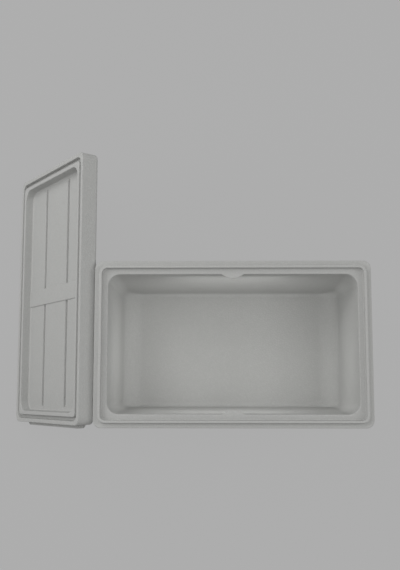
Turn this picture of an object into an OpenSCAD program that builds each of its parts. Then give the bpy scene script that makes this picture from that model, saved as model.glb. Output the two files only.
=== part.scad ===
// Insulated box moulded in white foam, with its loose lid taken off.
// The box stands open on its base. The lid leans against the left end wall,
// its underside turned up, so that its rim, recess and grooves show.
// The origin is the middle of the base, +X runs along the box, +Z is up.

/* [Box] */
// Length of the box over its rim
box_l = 500; // [400:5:700]
// Width of the box over its rim
box_w = 300; // [240:5:420]
// Height of the box to the top of its tongue
box_h = 260; // [180:5:400]
// Thickness of the walls at the rim
wall_t = 24; // [20:1:34]
// Thickness of the floor
floor_t = 30; // [20:1:45]
// Radius of the upright outer corners at the rim
corner_r = 14; // [12:1:24]
// Radius of the upright inner corners at the rim
inner_r = 22; // [20:1:40]
// How far each outer side draws in from the ledge to the base
outer_draft = 6; // [1:1:8]
// How far each inner side draws in from the rim to the floor
inner_draft = 10; // [2:1:14]
// Radius of the bottom edge all round
base_edge_r = 5; // [2:1:8]
// Radius between the end walls and the floor
end_fillet_r = 38; // [15:1:60]
// Radius between the long walls and the floor
side_fillet_r = 9; // [4:1:12]

/* [Rim] */
// Width of the outer ledge that carries the lid
ledge_w = 8; // [6:0.5:10]
// Height of the tongue above the ledges on both its sides
tongue_h = 7; // [4:0.5:12]
// Thickness of the tongue at its foot
tongue_t = 6.5; // [5:0.5:8]
// How far each side of the tongue draws in at its top
tongue_draft = 1; // [0.5:0.5:2]
// Radius of the outer corners of the tongue at the ledge
tongue_r = 15; // [13:1:20]
// Radius of the edges along the tongue
tongue_edge_r = 1; // [0.5:0.5:2]
// Width of the lug in the middle of each long wall
lug_w = 40; // [24:1:60]
// How far a lug stands in from the wall
lug_out = 8; // [4:0.5:10]
// Height of a lug from the rim down
lug_h = 30; // [15:1:60]

/* [Lid] */
// Thickness of the lid at its rim
lid_t = 33; // [30:1:45]
// Radius of the edge round the outer face of the lid
lid_edge_r = 5; // [2:1:8]
// How far the sides of the lid draw in to its outer face
lid_draft = 1.5; // [0.5:0.5:3]
// Clearance on both sides of the tongue and above it when the lid is on
seat_gap = 0.5; // [0.3:0.1:1]
// Width of the rim round the recess, with the channel for the tongue in it
frame_w = 22; // [22:1:34]
// Depth of the recess below the lid's rim
recess_h = 17; // [14:1:19]
// How far the sides of the recess draw in to its panel
recess_draft = 2; // [1:0.5:6]
// Radius between the recess sides and the panel
recess_fillet_r = 3; // [2:1:6]
// Width of each groove in the panel
groove_w = 9; // [6:0.5:12]
// Depth of each groove
groove_h = 7; // [5:0.5:8]
// Distance between the two grooves
groove_pitch = 106; // [70:1:150]
// Plain panel left between the end of a groove and the recess side
groove_end = 6; // [3:1:20]
// Width of the band across the middle of the panel
band_w = 32; // [16:1:60]
// Height of the band above the panel
band_h = 2; // [1:0.5:4]
// Distance from the long sides of the lid to the ends of a lifting lip
lip_inset = 30; // [26:1:90]
// How far a lip stands out
lip_out = 7; // [4:0.5:12]
// Thickness of a lip
lip_t = 14; // [8:1:18]
// Distance from the outer face of the lid to a lip
lip_drop = 3; // [0:0.5:6]

/* [Lid taken off] */
// Lean of the lid from upright, in degrees
lid_lean = 34; // [25:1:45]
// How far the middle of the lid stands to the back of the box's middle
lid_shift = 104; // [-150:1:150]
// Clearance between the lid and the end wall it leans on
lean_gap = 0.3; // [0.2:0.1:1]

/* [Hidden] */
$fn = 96;

foam_grey = [0.675, 0.68, 0.67];
fillet_steps = 16;

ledge_z = box_h - tongue_h;
// The inner ledge lies a little lower, so that the lid bears on the outer one
inner_ledge_z = ledge_z - 1;
cavity_h = box_h - floor_t;
cavity_l = box_l - 2 * wall_t;
cavity_w = box_w - 2 * wall_t;
tongue_l = box_l - 2 * ledge_w;
tongue_w = box_w - 2 * ledge_w;

// A lug is a segment of a round post, set so that its chord is lug_w at the ledge
lug_r = (lug_w * lug_w / 4 + lug_out * lug_out) / (2 * lug_out);
lug_y = cavity_w / 2 + lug_r - lug_out;

channel_h = tongue_h + seat_gap;
recess_l = box_l - 2 * frame_w;
recess_w = box_w - 2 * frame_w;
panel_z = lid_t - recess_h;
groove_l = recess_l - 2 * recess_draft - 2 * groove_end;
groove_r = 0.45 * groove_w;
lip_w = box_w - 2 * lip_inset;

// Slope of a side that draws in by d over a height h
function slope(d, h) = atan(d / h);
// Distance from the foot of a sloping side to the middle of its edge radius e
function edge_in(e, d, h) = e * (1 - sin(slope(d, h))) / cos(slope(d, h));
// An edge radius is never larger than the corner it runs round allows
function edge_fit(e, r, d) = min(e, 0.95 * (r - d));

// The half section of a side: 0 to r wide at the top, drawn in by d at the foot,
// with the foot's edge rounded to e
module side_section(r, h, d, e) {
    a = slope(d, h);
    mid = r - d - edge_in(e, d, h);
    touch = [mid + e * cos(a), e * (1 - sin(a))];
    polygon([[0, 0], [mid, 0], [mid, e], touch, [r, h], [0, h]]);
    intersection() {
        translate([mid, e]) circle(e);
        translate([mid, 0]) square([touch[0] - mid, e]);
    }
}

// A block as a mould gives it: l by w at the top, corner radius r there,
// all sides drawn in by d at the foot, and the foot's edge rounded to edge.
// Two sides and two corners are made, then turned half round for the others.
module moulded_block(l, w, h, r, d, edge) {
    e = edge_fit(edge, r, d);
    core_l = l - 2 * r;
    core_w = w - 2 * r;
    translate([-core_l / 2, -core_w / 2, 0]) cube([core_l, core_w, h]);
    for (turn = [0, 180]) rotate(turn) {
        translate([core_l / 2, core_w / 2, 0]) {
            rotate_extrude(angle = 90) side_section(r, h, d, e);
            rotate([90, 0, 0]) linear_extrude(core_w) side_section(r, h, d, e);
        }
        translate([-core_l / 2, core_w / 2, 0]) {
            rotate(90) rotate_extrude(angle = 90) side_section(r, h, d, e);
            rotate([90, 0, 90]) linear_extrude(core_l) side_section(r, h, d, e);
        }
    }
}

// What fills the corner between the right end wall and the floor: an arc from the
// floor to the wall, in short chords, on a backing sunk into both
module end_fillet() {
    r = end_fillet_r;
    foot = cavity_l / 2 - inner_draft;
    mid = foot - edge_in(r, inner_draft, cavity_h);
    back = wall_t / 2;
    sweep = 90 - slope(inner_draft, cavity_h);
    arc = [for (i = [fillet_steps : -1 : 0]) let (t = sweep * i / fillet_steps - 90)
        [mid + r * cos(t), r + r * sin(t)]];
    translate([0, 0, floor_t]) rotate([90, 0, 0]) linear_extrude(cavity_w, center = true)
        polygon(concat([[mid, -back], [foot + back, -back], [foot + back, arc[0][1]]], arc));
}

// The space inside the box, wider at its mouth
module cavity() {
    translate([0, 0, floor_t])
        moulded_block(cavity_l, cavity_w, cavity_h, inner_r, inner_draft, side_fillet_r);
}

// Two lugs below the inner ledge, round in plan, that taper into the long walls.
// Above the ledge their slope runs on, to be cut off with the space inside the tongue.
module lugs() {
    above = box_h - inner_ledge_z;
    for (y = [-1, 1]) translate([0, y * lug_y, inner_ledge_z - lug_h])
        cylinder(h = lug_h + above, r1 = lug_r - lug_out, r2 = lug_r + lug_out * above / lug_h);
}

// The space inside the tongue, above the inner ledge
module inside_tongue() {
    in = 2 * (tongue_t - tongue_draft);
    translate([0, 0, inner_ledge_z])
        moulded_block(tongue_l - in, tongue_w - in, box_h - inner_ledge_z,
                      tongue_r - tongue_t + tongue_draft, tongue_draft, tongue_edge_r);
}

// The open box in one piece: body with a ledge all round, tongue, lugs and cavity
module box_body() {
    color(foam_grey) {
        difference() {
            union() {
                moulded_block(box_l, box_w, ledge_z, corner_r, outer_draft, base_edge_r);
                translate([0, 0, box_h]) mirror([0, 0, 1])
                    moulded_block(tongue_l, tongue_w, tongue_h, tongue_r, tongue_draft, tongue_edge_r);
            }
            inside_tongue();
            difference() {
                cavity();
                lugs();
            }
        }
        for (turn = [0, 180]) rotate(turn) end_fillet();
    }
}

// The channel round the lid that takes the tongue of the box
module channel() {
    in = 2 * (tongue_t - tongue_draft + seat_gap);
    difference() {
        translate([0, 0, lid_t - channel_h])
            moulded_block(tongue_l + 2 * seat_gap, tongue_w + 2 * seat_gap, channel_h,
                          tongue_r + seat_gap, tongue_draft, tongue_edge_r);
        translate([0, 0, lid_t]) mirror([0, 0, 1])
            moulded_block(tongue_l - in, tongue_w - in, channel_h,
                          tongue_r - tongue_t + tongue_draft - seat_gap, tongue_draft, tongue_edge_r);
    }
}

// A groove with a rounded bottom and round ends
module groove() {
    translate([0, 0, -groove_h])
        moulded_block(groove_l, groove_w, groove_h, groove_r, 0.5, 0.8 * groove_r);
}

// The band across the panel, which stops the grooves in the middle
module cross_band() {
    foot = band_w / 2;
    top = foot - band_h / 2;
    deep = groove_h + 1;
    translate([0, 0, panel_z]) rotate([90, 0, 0]) linear_extrude(recess_w + 2, center = true)
        polygon([[-foot, -deep], [foot, -deep], [foot, 0], [top, band_h], [-top, band_h], [-foot, 0]]);
}

// The lifting lips on the short ends, with round corners
module lips() {
    for (turn = [0, 180]) rotate(turn) translate([box_l / 2, 0, lip_drop]) linear_extrude(lip_t) {
        translate([-corner_r, -lip_w / 2]) square([corner_r, lip_w]);
        translate([0, lip_out - lip_w / 2]) square([lip_out, lip_w - 2 * lip_out]);
        for (y = [-1, 1]) translate([0, y * (lip_w / 2 - lip_out)]) circle(lip_out);
    }
}

// The lid as it leaves the mould: outer face down, with the channel for the tongue,
// the recess and the grooves open upwards
module moulded_lid() {
    difference() {
        union() {
            moulded_block(box_l, box_w, lid_t, corner_r, lid_draft, lid_edge_r);
            lips();
        }
        channel();
        translate([0, 0, panel_z])
            moulded_block(recess_l, recess_w, recess_h, inner_r, recess_draft, recess_fillet_r);
        for (y = [-1, 1]) translate([0, y * groove_pitch / 2, panel_z]) groove();
    }
    cross_band();
}

// The lid stands on the edge of its outer face and leans on the end wall.
// mid is the middle of that edge's radius, across the lid and up from its outer face.
module lid() {
    mid = [box_w / 2 - lid_draft - edge_in(lid_edge_r, lid_draft, lid_t), lid_edge_r];
    lift = mid[0] * cos(lid_lean) - mid[1] * sin(lid_lean) + lid_edge_r;
    top_z = lift + mid[0] * cos(lid_lean) + mid[1] * sin(lid_lean);
    // A tall box is touched by the lid's upper edge, a low one touches its outer face
    draft_a = slope(outer_draft, ledge_z);
    edge_x = -box_l / 2 + (ledge_z - top_z) * tan(draft_a) - (lid_edge_r + lean_gap) / cos(draft_a)
        - mid[0] * sin(lid_lean) + mid[1] * cos(lid_lean);
    face_x = -box_l / 2 - (lean_gap + (ledge_z - lift) * sin(lid_lean)) / cos(lid_lean);
    color(foam_grey)
        translate([top_z > ledge_z ? face_x : edge_x, lid_shift, lift])
            rotate([0, lid_lean - 90, 0]) rotate(90) moulded_lid();
}

box_body();
lid();
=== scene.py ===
# %% [markdown]
# # An insulated box of moulded foam, with its lid taken off
#
# The object is an open box of white bead foam and the loose lid that closes it. The lid stands on
# one long edge and leans on the left end wall, so that its hollow underside shows. Both pieces are
# mouldings: every wall leans a little so that it leaves the mould, every edge is rounded, and the
# surface is a skin of pressed beads. The packed model gives their sizes and places, and this
# lesson gives them a finished surface that is rounded as the real one is.

import bpy
import numpy as np
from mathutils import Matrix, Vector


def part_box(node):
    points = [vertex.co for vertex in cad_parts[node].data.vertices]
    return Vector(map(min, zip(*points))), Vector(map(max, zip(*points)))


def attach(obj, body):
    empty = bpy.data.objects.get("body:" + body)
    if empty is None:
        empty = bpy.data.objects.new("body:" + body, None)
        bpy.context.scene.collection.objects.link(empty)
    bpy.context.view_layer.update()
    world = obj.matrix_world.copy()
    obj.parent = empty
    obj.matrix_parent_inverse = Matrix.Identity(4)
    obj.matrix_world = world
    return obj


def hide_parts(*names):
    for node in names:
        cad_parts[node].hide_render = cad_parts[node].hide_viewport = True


MM = 0.001

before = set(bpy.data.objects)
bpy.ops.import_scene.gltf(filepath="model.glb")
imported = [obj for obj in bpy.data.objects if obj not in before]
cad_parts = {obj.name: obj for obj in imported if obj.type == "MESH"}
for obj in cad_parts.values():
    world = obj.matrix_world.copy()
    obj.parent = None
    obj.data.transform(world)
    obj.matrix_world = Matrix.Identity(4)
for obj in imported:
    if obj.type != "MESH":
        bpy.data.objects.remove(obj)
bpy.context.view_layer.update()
tub_low, tub_high = (np.array(corner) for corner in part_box("box_body"))
lid_low, lid_high = (np.array(corner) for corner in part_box("lid"))
print("tub, millimetres:", np.round((tub_high - tub_low) / MM, 1))
print("leaning lid, millimetres:", np.round((lid_high - lid_low) / MM, 1))

# %% [markdown]
# The camera comes first, because it decides how much of each surface is seen. The photograph
# looks down into the box from nearly straight above, a little from its front. A long lens would
# hide the inner walls, and this one, at normal strength from about one and three quarter metres,
# shows all four of them, as the photograph does.

# %% Camera
CAMERA_PLACE = (-0.0323, -0.0866, 1.758)
CAMERA_TURN = (7.286, 1.015, 0.036)
LENS_MM = 52.95
SENSOR_MM = 36.0

lens = bpy.data.cameras.new("camera")
lens.lens = LENS_MM
lens.sensor_width = SENSOR_MM
camera = bpy.data.objects.new("camera", lens)
camera.location = CAMERA_PLACE
camera.rotation_euler = np.radians(CAMERA_TURN)
bpy.context.scene.collection.objects.link(camera)
bpy.context.scene.camera = camera
print("camera", CAMERA_PLACE, "lens", LENS_MM, "mm")

# %% [markdown]
# Both mouldings have the same kind of surface: a section, drawn as a line from the outer face over
# the rim and down to the inner face, carried round a rounded rectangle. So one set of helpers
# makes both. The section is written as its corners, each with the radius that the mould gives it,
# because that is how a mould is drawn. Each corner becomes a true arc, and each straight stretch
# gets a point close to each of its ends. Those points keep the flat faces flat when the mesh is
# shaded smooth.

# %% A section line from its corners
ARC_STEPS = 6
SUPPORT = 0.4 * MM


def arc_between(before, here, after, radius):
    """The arc that rounds the corner here. Its ends lie radius * tan(turn / 2) from the corner,
    and at the angle t it has moved radius * sin(t) along the way in and radius * (1 - cos(t))
    towards the way out. The other columns change evenly along it."""
    way_in = (here - before) / np.linalg.norm((here - before)[:2])
    way_out = (after - here) / np.linalg.norm((after - here)[:2])
    turn = np.arccos(np.clip(way_in[:2] @ way_out[:2], -1, 1))
    reach = radius * np.tan(turn / 2)
    start = here - reach * way_in
    end = here + reach * way_out
    across = way_out[:2] - (way_out[:2] @ way_in[:2]) * way_in[:2]
    across = across / np.linalg.norm(across)
    t = np.linspace(0, turn, ARC_STEPS + 1)[:, None]
    points = start + (end - start) * t / turn
    points[:, :2] = start[:2] + radius * (np.sin(t) * way_in[:2] + (1 - np.cos(t)) * across)
    return points


def stretch_between(start, end, step):
    """Points on the straight line between two ends: one close to each end, and between them
    points at most a step apart."""
    length = np.linalg.norm((end - start)[:2])
    near = min(SUPPORT / length, 0.25)
    count = max(int(np.ceil(length / step)), 1)
    share = np.linspace(near, 1 - near, count + 1)[:, None]
    return start + share * (end - start)


def section_line(corners, step=15 * MM):
    """A line through the corners, whose columns are inset, height, plan radius and edge radius.
    A corner with no edge radius stays as a point, and the others become arcs."""
    corners = np.array(corners, float)
    line = [corners[:1, :3]]
    for number in range(1, len(corners)):
        here = corners[number, :3]
        radius = corners[number, 3]
        if radius > 0:
            bend = arc_between(corners[number - 1, :3], here, corners[number + 1, :3], radius)
        else:
            bend = here[None]
        line.append(stretch_between(line[-1][-1], bend[0], step))
        line.append(bend)
    return np.concatenate(line)


print("a square corner of 2 mm radius has", len(section_line(
    [[0, 0, 1, 0], [0, 1, 1, 2 * MM], [1, 1, 1, 0]], step=1)), "points")

# %% [markdown]
# A ring is a rounded rectangle. Every ring of a piece has the same number of points, so that the
# rings can be joined to a skin of four-sided faces. Each point is written as a share of the
# straight side and a direction on the corner's arc, and with that a whole stack of rings is
# one product of arrays. The flat faces that close a moulding are filled with a grid that starts
# from the middle of each corner, so they are four-sided faces too, with no pole.

# %% Rings and the grid that closes them
CORNER_STEPS = 16


def unit_ring(side_x, side_y):
    """Four columns for each point of a ring, so that x = share_x * (half length - radius) +
    arc_x * radius, and y likewise. The ring runs left round, as seen from above, from the left
    end of the front side. side_x and side_y say where the points of the sides lie, -1 to 1."""
    arc = np.linspace(0, np.pi / 2, CORNER_STEPS + 1)[:-1]
    rows = []
    for quarter, shares in enumerate((side_x, side_y, side_x, side_y)):
        facing_angle = (quarter - 1) * np.pi / 2
        facing = np.array([np.cos(facing_angle), np.sin(facing_angle)])
        run = np.array([-facing[1], facing[0]])
        side = facing + shares[:-1, None] * run
        rows.append(np.column_stack([side, np.tile(facing, (len(side), 1))]))
        bend = np.column_stack([np.cos(facing_angle + arc), np.sin(facing_angle + arc)])
        rows.append(np.column_stack([np.tile(facing + run, (len(bend), 1)), bend]))
    return np.concatenate(rows)


def stack_of_rings(line, ring):
    """One ring for each row of line: half length, half width, height and plan radius.
    The result has the shape rings by points by three."""
    half_x, half_y, height, radius = (column[:, None] for column in line.T)
    x = ring[:, 0] * (half_x - radius) + ring[:, 2] * radius
    y = ring[:, 1] * (half_y - radius) + ring[:, 3] * radius
    return np.stack([x, y, np.broadcast_to(height, x.shape)], axis=-1)


def closing_grid(edge, across, up):
    """The points inside a closed edge that starts at the middle of a corner: a Coons patch, which
    is the blend between the lower and upper edges plus the blend between the left and right
    edges, less the blend between the four corners. Lines run across and up, on the spacing of
    the lower and the left edge. Returns up + 1 rows of across + 1 points, edge included."""
    loop = np.concatenate([edge, edge[:1]])
    lower = loop[: across + 1]
    right = loop[across : across + up + 1]
    upper = loop[across + up : 2 * across + up + 1][::-1]
    left = loop[2 * across + up :][::-1]
    u = ((lower[:, 0] - lower[0, 0]) / (lower[-1, 0] - lower[0, 0]))[None, :, None]
    v = ((left[:, 1] - left[0, 1]) / (left[-1, 1] - left[0, 1]))[:, None, None]
    between_rows = (1 - v) * lower[None] + v * upper[None]
    between_columns = (1 - u) * left[:, None] + u * right[:, None]
    corners = ((1 - u) * (1 - v) * lower[0] + u * (1 - v) * lower[-1]
               + (1 - u) * v * upper[0] + u * v * upper[-1])
    return between_rows + between_columns - corners


# %% A closed skin from rings and two grids
def quads(index):
    """Four-sided faces between the neighbours of a grid of point numbers."""
    return np.stack([index[:-1, :-1], index[:-1, 1:], index[1:, 1:], index[1:, :-1]], -1).reshape(-1, 4)


def closed_skin(name, rings, across, up, place=None, shape_inner=None):
    """The rings joined into a skin, with a grid over the first ring and one over the last.
    shape_inner may move the points of the last grid, and place moves all points at the end."""
    count, around = rings.shape[:2]
    shift = CORNER_STEPS // 2
    index = np.arange(count * around).reshape(count, around)
    wrapped = np.concatenate([index, index[:, :1]], axis=1)
    faces = [quads(wrapped)]
    points = [rings.reshape(-1, 3)]
    total = count * around
    for ring_number in (0, count - 1):
        edge_index = np.roll(index[ring_number], shift)
        grid = closing_grid(np.roll(rings[ring_number], shift, axis=0), across, up)
        if ring_number and shape_inner:
            grid = shape_inner(grid)
        inside = grid[1:-1, 1:-1].reshape(-1, 3)
        numbers = np.zeros((up + 1, across + 1), int)
        numbers[1:-1, 1:-1] = total + np.arange(len(inside)).reshape(up - 1, across - 1)
        numbers[0] = edge_index[: across + 1]
        numbers[:, -1] = edge_index[across : across + up + 1]
        numbers[-1] = edge_index[across + up : 2 * across + up + 1][::-1]
        numbers[:, 0] = np.append(edge_index[2 * across + up :], edge_index[0])[::-1]
        cap = quads(numbers)
        faces.append(cap if ring_number else cap[:, ::-1])
        points.append(inside)
        total += len(inside)
    points = np.concatenate(points)
    if place:
        points = place(points)
    mesh = bpy.data.meshes.new(name)
    mesh.from_pydata(points.tolist(), [], np.concatenate(faces).tolist())
    mesh.shade_smooth()
    piece = bpy.data.objects.new(name, mesh)
    bpy.context.scene.collection.objects.link(piece)
    return piece


def mirrored(values):
    """The values and their negatives, in order, each once."""
    return np.unique(np.round(np.concatenate([-np.array(values), np.array(values)]), 6))


def spread(half, near, fine, coarse):
    """Places along a side, -1 to 1: fine steps over the stretch near the middle, and coarse steps
    from there to both ends. near, fine and coarse are lengths, and half is the side's half."""
    inner = np.linspace(0, near, int(round(near / fine)) + 1)
    outer = np.linspace(near, half, int(round((half - near) / coarse)) + 1)
    return mirrored(np.concatenate([inner, outer]) / half)


# %% [markdown]
# The tub's section starts at the edge of its base. It goes up the leaning outer wall, in over the
# ledge that carries the lid, over the tongue that stands on the rim, in over a lower ledge, and
# down the inner wall. Its sizes are those of the packed model, and the small radii of the rim are
# added here, because foam never leaves a mould with a sharp edge. Near the floor the ends and the
# long sides part ways: the ends run out in a large radius and the long sides in a small one.

# %% Sizes of the tub
tub_half = (tub_high - tub_low)[:2] / 2
TUB_TOP = tub_high[2]
WALL = 24 * MM
FLOOR = 30 * MM
OUTER_DRAFT = 6 * MM
INNER_DRAFT = 10 * MM
OUTER_CORNER = 14 * MM
INNER_CORNER = 22 * MM
BASE_EDGE = 5 * MM
BASE_FLAT_CORNER = 4 * MM
LEDGE = 8 * MM
TONGUE_HEIGHT = 7 * MM
TONGUE_THICK = 6.5 * MM
TONGUE_DRAFT = 1 * MM
TONGUE_CORNER = 15 * MM
INNER_DROP = 1 * MM
RIM_EDGE = 1.6 * MM
SMALL_EDGE = 1.2 * MM
END_RADIUS = 38 * MM
SIDE_RADIUS = 9 * MM
WALL_RINGS = 12

ledge_top = TUB_TOP - TONGUE_HEIGHT
inner_ledge = ledge_top - INNER_DROP
cavity_depth = TUB_TOP - FLOOR
inside_corner = TONGUE_CORNER - TONGUE_THICK
print("cavity, millimetres deep:", round(cavity_depth / MM, 1))


# %% Section of the tub
def foot_of_wall(radius):
    """Where the arc between an inner wall and the floor starts and ends: how far its middle lies
    in from the foot of the leaning wall, and the angle at which it leaves the wall."""
    lean = np.arctan(INNER_DRAFT / cavity_depth)
    return radius * (1 - np.sin(lean)) / np.cos(lean), lean


def wall_inset(height_above_floor, radius):
    """Inset of an inner wall at a height above the floor: along the leaning wall, and below the
    arc's start on a circle that touches the wall and the floor."""
    middle, lean = foot_of_wall(radius)
    on_wall = WALL + INNER_DRAFT * (1 - height_above_floor / cavity_depth)
    drop = np.clip(radius - height_above_floor, 0, radius)
    on_arc = WALL + INNER_DRAFT + middle - np.sqrt(radius**2 - drop**2)
    return np.where(height_above_floor > radius * (1 - np.sin(lean)), on_wall, on_arc)


def tub_line():
    """All rings of the tub, from the base to the floor, as rows of half length, half width,
    height and plan radius."""
    mouth = INNER_DRAFT * (TUB_TOP - inner_ledge) / cavity_depth
    lug_foot = INNER_DRAFT * (TUB_TOP - inner_ledge + LUG_HEIGHT) / cavity_depth
    over_rim = section_line([
        [OUTER_DRAFT + BASE_EDGE, 0, BASE_FLAT_CORNER, 0],
        [OUTER_DRAFT, 0, OUTER_CORNER - OUTER_DRAFT, BASE_EDGE],
        [0, ledge_top, OUTER_CORNER, SMALL_EDGE],
        [LEDGE, ledge_top, TONGUE_CORNER, SMALL_EDGE],
        [LEDGE + TONGUE_DRAFT, TUB_TOP, TONGUE_CORNER - TONGUE_DRAFT, SMALL_EDGE],
        [LEDGE + TONGUE_THICK - TONGUE_DRAFT, TUB_TOP, inside_corner + TONGUE_DRAFT, SMALL_EDGE],
        [LEDGE + TONGUE_THICK, inner_ledge, inside_corner, SMALL_EDGE],
        [WALL + mouth, inner_ledge, INNER_CORNER - mouth, RIM_EDGE],
        [WALL + lug_foot, inner_ledge - LUG_HEIGHT, INNER_CORNER - lug_foot, 0],
    ], step=3 * MM)
    rows = np.column_stack([tub_half[0] - over_rim[:, 0], tub_half[1] - over_rim[:, 0],
                            over_rim[:, 1], over_rim[:, 2]])
    angle = np.linspace(0, np.pi / 2, 2 * ARC_STEPS + 1)
    bends = np.concatenate([END_RADIUS * (1 - np.sin(angle)), SIDE_RADIUS * (1 - np.sin(angle))])
    wall = np.linspace(inner_ledge - LUG_HEIGHT - FLOOR, END_RADIUS, WALL_RINGS)[1:-1]
    heights = np.unique(np.round(np.concatenate([wall, bends, [SUPPORT]]), 6))[::-1]
    corner = INNER_CORNER - INNER_DRAFT * (1 - heights / cavity_depth)
    inside = np.column_stack([tub_half[0] - wall_inset(heights, END_RADIUS),
                              tub_half[1] - wall_inset(heights, SIDE_RADIUS),
                              FLOOR + heights, corner])
    return np.concatenate([rows, inside])


# %% [markdown]
# In the middle of each long wall a lug stands in below the inner ledge. It is a piece of a round
# post, widest at the top, that tapers back into the wall. Instead of joining a second solid, the
# wall's own points are pushed out to the post's surface wherever the post is in front of the
# wall, and the two surfaces are blended over about a millimetre, as a mould's own radius does.

# %% The lugs
LUG_WIDTH = 40 * MM
LUG_OUT = 8 * MM
LUG_HEIGHT = 30 * MM
LUG_BLEND = 1.2 * MM


def lug_push(x, height, wall_y):
    """How far the lug stands in from the wall at x and height. The post's radius is that of the
    circle whose chord is the lug's width, less the taper below the ledge, and the push is a
    smooth maximum of nothing and the distance from the wall to the post."""
    post = (LUG_WIDTH**2 / 4 + LUG_OUT**2) / (2 * LUG_OUT)
    middle_y = tub_half[1] - WALL + post - LUG_OUT
    taper = np.clip((inner_ledge - height) / LUG_HEIGHT, 0, 1)
    radius = post - LUG_OUT * taper
    post_y = middle_y - np.sqrt(np.clip(radius**2 - x**2, 0, None))
    ahead = wall_y - post_y
    return (ahead + np.sqrt(ahead**2 + LUG_BLEND**2)) / 2 * (np.abs(x) < LUG_WIDTH)


def with_lugs(rings, line):
    """The rings of the tub with the lugs pushed out of the long inner walls. On the inner ledge
    the push fades to nothing at the foot of the tongue."""
    rings = rings.copy()
    x, y, height = rings[..., 0], rings[..., 1], rings[..., 2]
    inset = tub_half[1] - line[:, 1]
    tongue_foot = LEDGE + TONGUE_THICK
    fade = np.clip((inset - tongue_foot) / (WALL - RIM_EDGE - tongue_foot), 0, 1)
    fade = fade * (line[:, 2] > FLOOR + END_RADIUS)
    wall_y = np.minimum(np.abs(y), tub_half[1] - WALL)
    push = fade[:, None] * lug_push(x, height, wall_y)
    rings[..., 1] = y - np.sign(y) * np.where(np.abs(y) > tub_half[1] / 2, push, 0)
    return rings


# %% The tub's skin
tub_rows = tub_line()
long_side = tub_half[0] - INNER_CORNER - INNER_DRAFT
side_x = spread(long_side, near=27 * MM, fine=1.5 * MM, coarse=13 * MM)
side_y = spread(tub_half[1] - INNER_CORNER, near=30 * MM, fine=10 * MM, coarse=11 * MM)
tub_rings = with_lugs(stack_of_rings(tub_rows, unit_ring(side_x, side_y)), tub_rows)
tub = closed_skin("box_shell", tub_rings, across=len(side_x) - 1 + CORNER_STEPS,
                  up=len(side_y) - 1 + CORNER_STEPS)
print(tub.name, "has", len(tub_rows), "rings and", len(tub.data.polygons), "faces")

# %% [markdown]
# The lid is worked out as it lies in its mould, outer face down, and then turned and placed. Its
# underside is the richer face: a flat rim with a channel all round for the tub's tongue, a deep
# recess, and in the recess a flat panel with two deep narrow grooves that a band across the
# middle stops. The panel is the closing grid of the skin, whose lines are set closest where
# the grooves and the band are, and their relief is one height function over it.

# %% Sizes of the lid
LID_LEAN = np.radians(34)
LID_THICK = 33 * MM
LID_DRAFT = 1.5 * MM
LID_EDGE = 5 * MM
LID_EDGE_RADIUS = 4.8 * MM
SEAT_GAP = 0.5 * MM
FRAME = 22 * MM
RECESS = 17 * MM
RECESS_DRAFT = 2 * MM
RECESS_RADIUS = 3 * MM
GROOVE_HALF = 4.5 * MM
GROOVE_DEEP = 7 * MM
GROOVE_DRAFT = 0.5 * MM
GROOVE_ROUND = 3.24 * MM
GROOVE_Y = 53 * MM
GROOVE_END = 6 * MM
GROOVE_STEEP = np.radians(86)
GROOVE_EDGE = 0.6 * MM
GROOVE_EDGE_INSIDE = 0.06 * MM
GROOVE_EDGE_DEEP = 0.72 * MM
GROOVE_ARC_POINTS = 12
GROOVE_EDGE_POINTS = 5
BAND_HALF = 16 * MM
BAND_HEIGHT = 2 * MM
BAND_SLOPE = 1 * MM
BAND_SPILL = 0.2
TINY = 1e-6

lid_half = tub_half
lid_panel = LID_THICK - RECESS
print("panel of the lid, millimetres above its outer face:", round(lid_panel / MM, 1))


# %% Sections of the lid
def line_by_length(line, count):
    """The same line with a given number of points, evenly spaced along its length."""
    length = np.append(0, np.cumsum(np.linalg.norm(np.diff(line[:, :2], axis=0), axis=1)))
    places = np.linspace(0, length[-1], count)
    return np.column_stack([np.interp(places, length, column) for column in line.T])


LIP_OUT = 7 * MM
LIP_LOW = 3 * MM
LIP_HIGH = 17 * MM
LIP_HALF = 120 * MM
LIP_EDGE = 2 * MM
LIP_FADE = 9 * MM

# the corner where the side ends and the edge of the underside begins
side_top = LID_THICK - 2 * SMALL_EDGE
shoulder = [LID_DRAFT * 2 * SMALL_EDGE / LID_THICK, side_top, OUTER_CORNER, 0]

# how far the section of a lip stands out from the wall, and its height
lip_side = section_line([
    [0, 0, 0, 0],
    [0, LIP_LOW, 0, SMALL_EDGE / 2],
    [LIP_OUT, LIP_LOW, 0, LIP_EDGE],
    [LIP_OUT, LIP_HIGH, 0, LIP_EDGE],
    [0, LIP_HIGH, 0, SMALL_EDGE],
    [0, side_top, 0, 0],
], step=2 * MM)[:, :2]

plain_side = line_by_length(section_line([
    [LID_DRAFT + LID_EDGE, 0, OUTER_CORNER - LID_DRAFT - LID_EDGE, 0],
    [LID_DRAFT, 0, OUTER_CORNER - LID_DRAFT, LID_EDGE_RADIUS],
    shoulder,
]), len(lip_side))

channel_out = LEDGE - SEAT_GAP
channel_in = LEDGE + TONGUE_THICK + SEAT_GAP
channel_floor = LID_THICK - TONGUE_HEIGHT - SEAT_GAP

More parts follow.
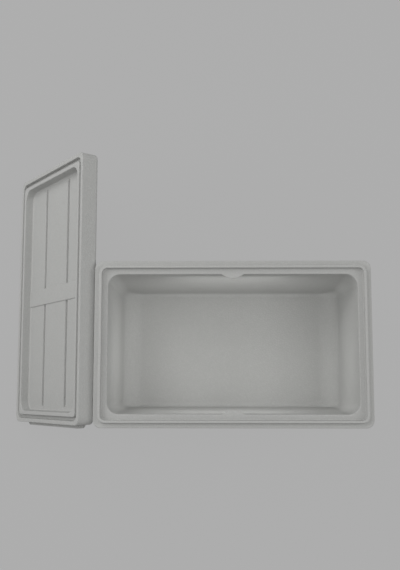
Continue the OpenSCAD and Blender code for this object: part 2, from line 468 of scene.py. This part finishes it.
under_side = section_line([
    shoulder,
    [0, LID_THICK, OUTER_CORNER, SMALL_EDGE],
    [channel_out, LID_THICK, TONGUE_CORNER + SEAT_GAP, SMALL_EDGE],
    [channel_out + TONGUE_DRAFT, channel_floor, TONGUE_CORNER + SEAT_GAP - TONGUE_DRAFT, SMALL_EDGE],
    [channel_in - TONGUE_DRAFT, channel_floor, inside_corner - SEAT_GAP + TONGUE_DRAFT, SMALL_EDGE],
    [channel_in, LID_THICK, inside_corner - SEAT_GAP, SMALL_EDGE],
    [FRAME, LID_THICK, INNER_CORNER, RIM_EDGE],
    [FRAME + RECESS_DRAFT, lid_panel, INNER_CORNER - RECESS_DRAFT, RECESS_RADIUS],
    [FRAME + RECESS_DRAFT + RECESS_RADIUS, lid_panel, INNER_CORNER - RECESS_DRAFT - RECESS_RADIUS, 0],
], step=4 * MM)[1:]

lid_line = np.concatenate([plain_side, under_side])
lid_rows = np.column_stack([lid_half[0] - lid_line[:, 0], lid_half[1] - lid_line[:, 0],
                            lid_line[:, 1], lid_line[:, 2]])
print("rings of the lid:", len(lid_rows))


# %% Lines of the lid's grid
def grid_places(wanted, half, radius):
    """Shares of a side that put the lines of the closing grid at the wanted distances from the
    middle. The grid starts from the middle of a corner, so its lines are spread by the ratio of
    the half side to the half distance between those starts."""
    start = half - radius * (1 - np.cos(np.pi / 4))
    return np.array(wanted) * (start / half) / (half - radius)


panel_half = lid_rows[-1, :2]
panel_corner = lid_rows[-1, 3]
groove_side = np.array([0.8, 1.9, 2.8, 3.5, 3.9, 4.15, 4.4, 4.6, 4.85, 5.1, 5.6, 8]) * MM
groove_lines = GROOVE_Y + np.concatenate([-groove_side, groove_side])
band_lines = BAND_HALF + np.linspace(-1.4, 1.4, 9) * MM
plain_x = np.array([0, 8, 28, 42, 56, 70, 84, 98, 112, 126, 140, 154, 168, 182]) * MM
plain_y = np.array([0, 9, 18, 27, 36, 70, 80]) * MM
lip_lines = LIP_HALF - np.array([28, 14, 7, 6, 4.5, 3, 1.6, 0.7, 0.2, 0, -0.3, -3, -6, -9]) * MM

lid_side_x = mirrored(np.concatenate([
    grid_places(np.concatenate([plain_x, band_lines]), panel_half[0], panel_corner), [1]]))
lid_side_y = mirrored(np.concatenate([
    grid_places(np.concatenate([plain_y, groove_lines]), panel_half[1], panel_corner),
    lip_lines / (lid_half[1] - OUTER_CORNER), [1]]))
print("lines across and along:", len(lid_side_x), len(lid_side_y))


# %% Lips and relief of the lid
def smooth_step(low, high, value):
    """0 below low, 1 above high, and the smooth curve 3t^2 - 2t^3 between them."""
    t = np.clip((value - low) / (high - low), 0, 1)
    return t * t * (3 - 2 * t)


def with_lips(rings):
    """The rings of the lid with a lip on each end. Between the lip's ends the section of the lip
    takes the place of the plain side. Its plan is a bar with round corners, and past its ends
    the rings go back to their plain heights."""
    rings = rings.copy()
    count = len(lip_side)
    x, y, height = (rings[:count, :, axis] for axis in range(3))
    at_end = np.abs(x) > lid_half[0] - OUTER_CORNER / 2
    beyond = np.clip(np.abs(y) - (LIP_HALF - LIP_OUT), 0, LIP_OUT)
    stands = np.sqrt(LIP_OUT**2 - beyond**2) / LIP_OUT
    taken = at_end * (1 - smooth_step(LIP_HALF, LIP_HALF + LIP_FADE, np.abs(y)))
    new_height = height + taken * (lip_side[:, 1:] - height)
    wall_x = lid_half[0] - np.interp(new_height, plain_side[:, 1], plain_side[:, 0])
    new_x = np.sign(x) * (wall_x + stands * lip_side[:, :1])
    rings[:count, :, 0] = np.where(taken > 0, new_x, x)
    rings[:count, :, 2] = new_height
    return rings


def groove_depth(x, y):
    """Depth of the grooves below the panel, by the distance from a groove's middle line: a flat
    bottom, an arc up to the steep side, and a rounded edge at the panel."""
    end = lid_half[0] - FRAME - RECESS_DRAFT - GROOVE_END - GROOVE_HALF
    along = np.clip(np.abs(x) - end, 0, None)
    away = np.hypot(along, np.abs(y) - GROOVE_Y)
    turn = np.linspace(0, GROOVE_STEEP, GROOVE_ARC_POINTS)
    arc_away = GROOVE_HALF - GROOVE_DRAFT - GROOVE_ROUND * (1 - np.sin(turn))
    arc_depth = GROOVE_DEEP - GROOVE_ROUND * (1 - np.cos(turn))
    edge = np.linspace(0, 1, GROOVE_EDGE_POINTS)
    edge_away = GROOVE_HALF - GROOVE_EDGE_INSIDE + GROOVE_EDGE * edge
    edge_depth = GROOVE_EDGE_DEEP * (1 - edge) ** 2
    return np.interp(away, np.append(arc_away, edge_away), np.append(arc_depth, edge_depth))


def band_rise(x):
    """1 on the band across the panel and 0 beside it, with a slope between them."""
    return smooth_step(0, 1, (BAND_HALF - np.abs(x)) / BAND_SLOPE + BAND_SPILL)


def with_relief(points):
    """Points of the panel and the foot of the recess, with the grooves cut in and the band
    raised. The band also fills the grooves, which stop on both sides of it."""
    points = points.copy()
    x, y, height = points[..., 0], points[..., 1], points[..., 2]
    band = band_rise(x)
    on_panel = height < lid_panel + TINY
    height = height - np.where(on_panel, groove_depth(x, y) * (1 - band), 0)
    points[..., 2] = height + band * np.clip(lid_panel + BAND_HEIGHT - height, 0, None)
    return points


# %% The lid's skin, turned and placed
lid_reach = np.array([
    lid_half[1] * np.sin(LID_LEAN) + LID_THICK * np.cos(LID_LEAN),
    lid_half[1] * np.cos(LID_LEAN) + LID_THICK * np.sin(LID_LEAN)])
lid_middle = np.array([lid_low[0] + lid_reach[0], (lid_low[1] + lid_high[1]) / 2,
                       lid_high[2] - lid_reach[1]])
lid_axes = np.array([[0, 1, 0],
                     [-np.sin(LID_LEAN), 0, -np.cos(LID_LEAN)],
                     [-np.cos(LID_LEAN), 0, np.sin(LID_LEAN)]])


def lean(points):
    """Points of the lid in its mould, turned to where it leans: its length runs along Y, its
    width down the slope, and its underside looks up and to the left."""
    return lid_middle + points @ lid_axes


lid_rings = with_lips(stack_of_rings(lid_rows, unit_ring(lid_side_x, lid_side_y)))
in_recess = lid_rings[:, :, 2] < lid_panel + 2 * RECESS_RADIUS
in_recess[: len(plain_side)] = False
lid_rings = np.where(in_recess[..., None], with_relief(lid_rings), lid_rings)
lid = closed_skin("lid_shell", lid_rings, across=len(lid_side_x) - 1 + CORNER_STEPS,
                  up=len(lid_side_y) - 1 + CORNER_STEPS, place=lean, shape_inner=with_relief)
print(lid.name, "has", len(lid_rings), "rings and", len(lid.data.polygons), "faces")


# %% [markdown]
# Shader maths reads best as plain expressions. A small class wraps a socket, and adding or
# multiplying two of them adds a Math node to the tree. Every other node comes from one
# method, which sets what the node is before it fills its sockets.

# %% A socket that can be used in expressions
class Wire:
    """One output of a node. Adding, subtracting or multiplying it adds a Math node."""

    def __init__(self, tree, socket):
        self.tree = tree
        self.socket = socket

    def _math(self, operation, first, second):
        return self.tree.node("ShaderNodeMath", {0: first, 1: second}, operation=operation)

    def __add__(self, other):
        return self._math("ADD", self, other)

    def __radd__(self, other):
        return self._math("ADD", other, self)

    def __sub__(self, other):
        return self._math("SUBTRACT", self, other)

    def __rsub__(self, other):
        return self._math("SUBTRACT", other, self)

    def __mul__(self, other):
        return self._math("MULTIPLY", self, other)

    def __rmul__(self, other):
        return self._math("MULTIPLY", other, self)


class Tree:
    """The nodes of one material or of the world."""

    def __init__(self, owner):
        owner.use_nodes = True
        self.nodes = owner.node_tree.nodes
        self.links = owner.node_tree.links
        self.nodes.clear()

    def node(self, kind, inputs=None, output=0, **settings):
        """A node of a kind. Settings such as operation are set first, then each socket in inputs
        gets its value or its link. Returns one output as a wire."""
        made = self.nodes.new(kind)
        for name, value in settings.items():
            setattr(made, name, value)
        for name, value in (inputs or {}).items():
            if isinstance(value, Wire):
                self.links.new(value.socket, made.inputs[name])
            else:
                made.inputs[name].default_value = value
        return Wire(self, made.outputs[output]) if made.outputs else None


print("wires ready:", Wire.__doc__)

# %% [markdown]
# Bead foam is thousands of beads of three to five millimetres, pressed against each other until
# they fill the mould. What shows is a skin of many-sided cells with a fine line between them.
# A Voronoi pattern gives just that: its cells are the beads, and the distance to the nearest
# border gives the line. The cells differ a little in tone, the lines are a trace darker, and
# both feed a shallow bump. The skin is matt, so it is rough all over. The pattern reads Object
# coordinates, which are the same metres on both pieces, so the beads have one size.

# %% The foam's look
FOAM_COLOUR = (0.416, 0.418, 0.407)
BEADS_PER_METRE = 240
BEAD_TONE = 0.035
SEAM_TONE = 0.05
CLOUD_TONE = 0.04
BEAD_CROWN = 0.22
CLOUDS_PER_METRE = 9.0
GRAINS_PER_METRE = 1400.0
BEAD_STEP = 0.35
GRAIN_STEP = 0.12
SKIN_DEPTH = 0.25 * MM
SKIN_STRENGTH = 0.6
FOAM_ROUGHNESS = 0.85
BEAD_ROUGHNESS = 0.06


def foam_material():
    """White bead foam, pale grey under the photograph's light."""
    material = bpy.data.materials.new("bead_foam")
    tree = Tree(material)
    place = tree.node("ShaderNodeTexCoord", output="Object")
    cell = tree.node("ShaderNodeTexVoronoi", {"Vector": place, "Scale": BEADS_PER_METRE}, output="Color")
    border = tree.node("ShaderNodeTexVoronoi", {"Vector": place, "Scale": BEADS_PER_METRE},
                       output="Distance", feature="DISTANCE_TO_EDGE")
    bead = tree.node("ShaderNodeSeparateColor", {"Color": cell}, output="Red")
    crown = tree.node("ShaderNodeMapRange", {"Value": border, "From Max": BEAD_CROWN},
                      interpolation_type="SMOOTHSTEP")
    cloud = tree.node("ShaderNodeTexNoise", {"Vector": place, "Scale": CLOUDS_PER_METRE, "Detail": 2.0})
    grain = tree.node("ShaderNodeTexNoise", {"Vector": place, "Scale": GRAINS_PER_METRE, "Detail": 2.0})
    tone = 1 + (bead - 0.5) * BEAD_TONE - (1 - crown) * SEAM_TONE + (cloud - 0.5) * CLOUD_TONE
    colour = tree.node("ShaderNodeVectorMath", {0: FOAM_COLOUR, "Scale": tone}, operation="SCALE")
    height = crown + bead * BEAD_STEP + grain * GRAIN_STEP
    bump = tree.node("ShaderNodeBump", {
        "Height": height, "Distance": SKIN_DEPTH, "Strength": SKIN_STRENGTH})
    shader = tree.node("ShaderNodeBsdfPrincipled", {
        "Base Color": colour,
        "Roughness": FOAM_ROUGHNESS + (bead - 0.5) * BEAD_ROUGHNESS,
        "Normal": bump,
    })
    tree.node("ShaderNodeOutputMaterial", {"Surface": shader})
    return material


foam = foam_material()
for piece, node_name in ((tub, "box_body"), (lid, "lid")):
    piece.data.materials.append(foam)
    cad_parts[node_name].data.materials.clear()
    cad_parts[node_name].data.materials.append(foam)
    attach(piece, "root")
    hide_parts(node_name)
print("foam has", len(foam.node_tree.nodes), "nodes")

# %% [markdown]
# The photograph shows the box on an even grey with hardly a shadow. The floor is that grey. Seen
# by the camera it is mostly its own even tone, with a share of the real light left in, so that a
# faint shadow still ties the pieces to it.

# %% Floor
BACKDROP = (0.423, 0.423, 0.423, 1.0)
EVEN_SHARE = 0.94
FLOOR_SIZE = 12.0


def backdrop_floor():
    """A wide plane under the object."""
    half = FLOOR_SIZE / 2
    mesh = bpy.data.meshes.new("floor")
    mesh.from_pydata([(-half, -half, 0), (half, -half, 0), (half, half, 0), (-half, half, 0)],
                     [], [(0, 1, 2, 3)])
    floor = bpy.data.objects.new("floor", mesh)
    bpy.context.scene.collection.objects.link(floor)
    material = bpy.data.materials.new("backdrop")
    tree = Tree(material)
    seen = tree.node("ShaderNodeLightPath", output="Is Camera Ray")
    reflected = tree.node("ShaderNodeLightPath", output="Is Glossy Ray")
    lit = tree.node("ShaderNodeBsdfDiffuse", {"Color": BACKDROP})
    even = tree.node("ShaderNodeEmission", {"Color": BACKDROP, "Strength": 1.0})
    mixed = tree.node("ShaderNodeMixShader", {0: (seen + reflected) * EVEN_SHARE, 1: lit, 2: even})
    tree.node("ShaderNodeOutputMaterial", {"Surface": mixed})
    mesh.materials.append(material)
    return floor


floor = backdrop_floor()
print("floor", FLOOR_SIZE, "m wide")

# %% [markdown]
# The photograph's light is even, a little brighter from the left and from the back. A plain sky
# and a ring of large soft lamps give that. Real foam is white, so the light that falls into the
# box is thrown about in it until its walls are nearly as bright as its rim. The foam's colour is
# written here at the picture's grey, which throws back too little, so small lamps inside the box
# stand in for that light. The camera doesn't see them, and the walls keep their light inside.

# %% Light
SKY_STRENGTH = 0.24
BOUNCE_RADIUS = 0.05
# place and target in metres, side in metres, power in watts
SOFT_LAMPS = {
    "overhead": ((0.0, 0.0, 2.6), (0, 0, 0.1), 1.0, 8.2),
    "left": ((-2.3, 0.3, 1.4), (0, 0, 0.1), 1.2, 19.6),
    "front": ((0.0, -1.9, 2.0), (0, 0, 0.1), 1.2, 8.0),
    "right": ((2.3, 0.2, 1.4), (0, 0, 0.1), 1.2, 19.0),
    "high_right": ((1.1, 0.2, 2.3), (0, 0, 0.1), 1.0, 4.3),
    "back_left": ((-1.0, 1.1, 0.9), (-0.3, 0.2, 0.1), 0.6, 4.0),
    "above_lid": ((-0.8, 0.9, 1.6), (-0.3, 0.2, 0.1), 0.6, 4.6),
    "into_box": ((0.0, 0.0, 0.24), (0, 0, 0), 0.2, 0.165),
}
# place in metres, power in watts
BOUNCE_LAMPS = {
    "bounce_left": ((-0.13, -0.02, 0.17), 0.082),
    "bounce_right": ((0.11, -0.03, 0.17), 0.049),
}


def sky():
    """An even world for light, and the backdrop's grey where the camera sees it."""
    world = bpy.data.worlds.new("sky")
    bpy.context.scene.world = world
    tree = Tree(world)
    seen = tree.node("ShaderNodeLightPath", output="Is Camera Ray")
    light = tree.node("ShaderNodeBackground", {"Color": (1, 1, 1, 1), "Strength": SKY_STRENGTH})
    backdrop = tree.node("ShaderNodeBackground", {"Color": BACKDROP, "Strength": 1.0})
    mixed = tree.node("ShaderNodeMixShader", {0: seen, 1: light, 2: backdrop})
    tree.node("ShaderNodeOutputWorld", {"Surface": mixed})


def place_light(name, light, place, power):
    """An object for a light, which the camera doesn't see."""
    light.energy = power
    lamp = bpy.data.objects.new(name, light)
    lamp.location = place
    lamp.visible_camera = False
    bpy.context.scene.collection.objects.link(lamp)
    return lamp


def soft_lamp(name, place, target, size, power):
    """A square area lamp at a place, turned to its target."""
    light = bpy.data.lights.new(name, "AREA")
    light.size = size
    lamp = place_light(name, light, place, power)
    direction = np.array(target, float) - np.array(place, float)
    forward = direction / np.linalg.norm(direction)
    lamp.rotation_euler = (np.arccos(-forward[2]), 0, np.arctan2(forward[0], -forward[1]) + np.pi)


def bounce_lamp(name, place, power):
    """A small round lamp that shines to all sides."""
    light = bpy.data.lights.new(name, "POINT")
    light.shadow_soft_size = BOUNCE_RADIUS
    place_light(name, light, place, power)


sky()
for name, (place, target, size, power) in SOFT_LAMPS.items():
    soft_lamp(name, place, target, size, power)
for name, (place, power) in BOUNCE_LAMPS.items():
    bounce_lamp(name, place, power)

# %% Finish
bpy.context.scene.view_settings.view_transform = "Standard"
